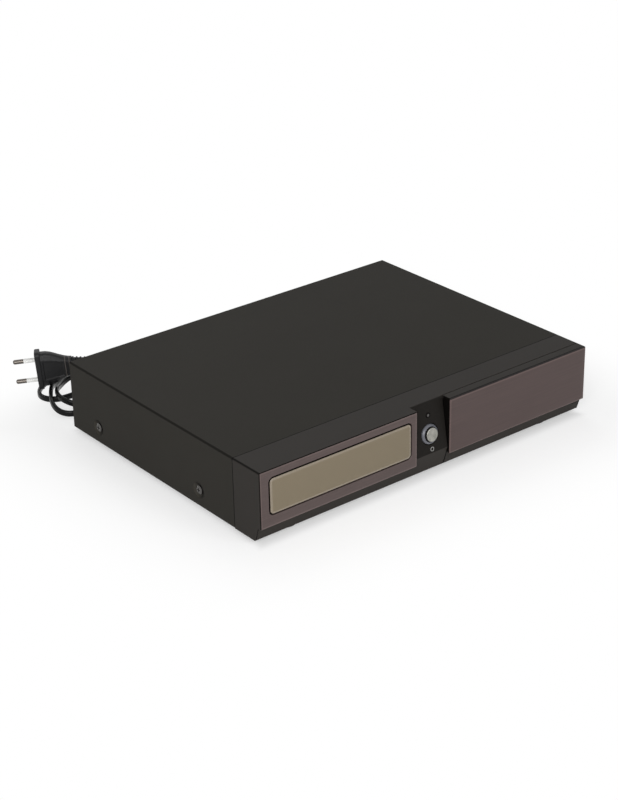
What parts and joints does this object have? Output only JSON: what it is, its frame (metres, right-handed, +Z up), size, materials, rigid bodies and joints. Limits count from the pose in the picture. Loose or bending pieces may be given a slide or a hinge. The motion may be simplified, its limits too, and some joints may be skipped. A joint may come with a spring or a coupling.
{
  "type": "tv decoder box",
  "caption": "Low set-top television decoder box with a framed display window, a round power button on a leaning strip, a drop-down flap over keys and slots, rear sockets and a mains lead.",
  "frame": {"origin": "on the floor under the middle of the box, its rear sockets included and its lead left out", "axes": "+X to the right seen from the front, front towards -Y, +Z up"},
  "size_m": [0.3428, 0.352, 0.063],
  "materials": {
    "cover_paint": "satin black paint with a fine texture",
    "zinc_steel": "zinc plated sheet",
    "front_plastic": "black moulded plastic",
    "brown_metal": "brown brushed metal",
    "display_tint": "olive tinted clear plastic",
    "display_glass": "dark glass",
    "inner_plastic": "black plastic",
    "circuit_board": "green laminate",
    "ring_grey": "grey satin ring",
    "button_silver": "silver painted plastic",
    "sensor_dark": "dark tinted lens",
    "key_plastic": "dark grey plastic",
    "heatsink_metal": "extruded",
    "socket_metal": "nickel plated",
    "winding": "yellow tape over the winding",
    "capacitor_sleeve": "printed sleeve",
    "ribbon": "grey flat cable",
    "black_steel": "blackened steel",
    "foot_rubber": "black rubber",
    "cord_rubber": "black soft vinyl",
    "pin_metal": "nickel plated brass",
    "sleeve_plastic": "pale insulating sleeve"
  },
  "bodies": {
    "chassis": {"bottom_tray": "zinc_steel", "wrap_cover": "cover_paint", "rear_panel": "zinc_steel", "front_bezel": "front_plastic", "display_panel": "brown_metal", "display_lens": "display_tint", "display_tube": "display_glass", "display_holder": "inner_plastic", "front_board": "circuit_board", "tact_switches": "inner_plastic", "key_board": "circuit_board", "button_ring": "ring_grey", "sensor_lens": "sensor_dark", "hinge_pins": "zinc_steel", "module_cage": "zinc_steel", "card_reader": "inner_plastic", "main_board": "circuit_board", "decoder_heatsink": "heatsink_metal", "tuners": "zinc_steel", "f_sockets": "socket_metal", "f_nuts": "socket_metal", "scart_block": "inner_plastic", "phono_block": "inner_plastic", "phono_jacks": "socket_metal", "hdmi_socket": "zinc_steel", "optical_socket": "inner_plastic", "network_socket": "zinc_steel", "power_board": "circuit_board", "power_transformer": "winding", "bulk_capacitor": "capacitor_sleeve", "power_heatsink": "heatsink_metal", "switch_body": "inner_plastic", "front_ribbon": "ribbon", "power_loom": "ribbon", "cover_screws": "black_steel", "board_screws": "zinc_steel", "base_screws": "black_steel", "bezel_screws": "zinc_steel", "feet": "foot_rubber", "cord_bush": "cord_rubber", "cord_lead": "cord_rubber", "cord_coil": "cord_rubber", "cord_tail": "cord_rubber", "plug_body": "cord_rubber", "plug_pins": "pin_metal", "pin_sleeves": "sleeve_plastic"},
    "flap": {"flap_carrier": "front_plastic", "flap_skin": "brown_metal"},
    "power_button": {"power_button": "button_silver"},
    "channel_up_key": {"channel_up_key": "key_plastic"},
    "channel_down_key": {"channel_down_key": "key_plastic"},
    "volume_up_key": {"volume_up_key": "key_plastic"},
    "volume_down_key": {"volume_down_key": "key_plastic"},
    "menu_key": {"menu_key": "key_plastic"},
    "upper_eject": {"upper_eject": "key_plastic"},
    "lower_eject": {"lower_eject": "key_plastic"},
    "switch_rocker": {"switch_rocker": "inner_plastic"}
  },
  "joints": [
    {"name": "flap_hinge", "type": "hinge", "parent": "chassis", "child": "flap", "pos_m": [0.09415, -0.1232, 0.013], "axis": [1, 0, 0], "range_deg": [0, 90]},
    {"name": "power_press", "type": "slide", "parent": "chassis", "child": "power_button", "axis": [0, 0.9874, -0.1584], "range_m": [0, 0.0012], "stiffness_N_per_m": 1000, "springref_m": -0.001},
    {"name": "channel_up_press", "type": "slide", "parent": "chassis", "child": "channel_up_key", "axis": [0, 1, 0], "range_m": [0, 0.0008], "stiffness_N_per_m": 1000, "springref_m": -0.001},
    {"name": "channel_down_press", "type": "slide", "parent": "chassis", "child": "channel_down_key", "axis": [0, 1, 0], "range_m": [0, 0.0008], "stiffness_N_per_m": 1000, "springref_m": -0.001},
    {"name": "volume_up_press", "type": "slide", "parent": "chassis", "child": "volume_up_key", "axis": [0, 1, 0], "range_m": [0, 0.0008], "stiffness_N_per_m": 1000, "springref_m": -0.001},
    {"name": "volume_down_press", "type": "slide", "parent": "chassis", "child": "volume_down_key", "axis": [0, 1, 0], "range_m": [0, 0.0008], "stiffness_N_per_m": 1000, "springref_m": -0.001},
    {"name": "menu_press", "type": "slide", "parent": "chassis", "child": "menu_key", "axis": [0, 1, 0], "range_m": [0, 0.0008], "stiffness_N_per_m": 1000, "springref_m": -0.001},
    {"name": "upper_eject_slide", "type": "slide", "parent": "chassis", "child": "upper_eject", "axis": [0, 1, 0], "range_m": [0, 0.004], "stiffness_N_per_m": 200, "springref_m": -0.003},
    {"name": "lower_eject_slide", "type": "slide", "parent": "chassis", "child": "lower_eject", "axis": [0, 1, 0], "range_m": [0, 0.004], "stiffness_N_per_m": 200, "springref_m": -0.003},
    {"name": "rocker_tilt", "type": "hinge", "parent": "chassis", "child": "switch_rocker", "pos_m": [-0.138, 0.1223, 0.025], "axis": [-1, 0, 0], "range_deg": [0, 20]}
  ]
}
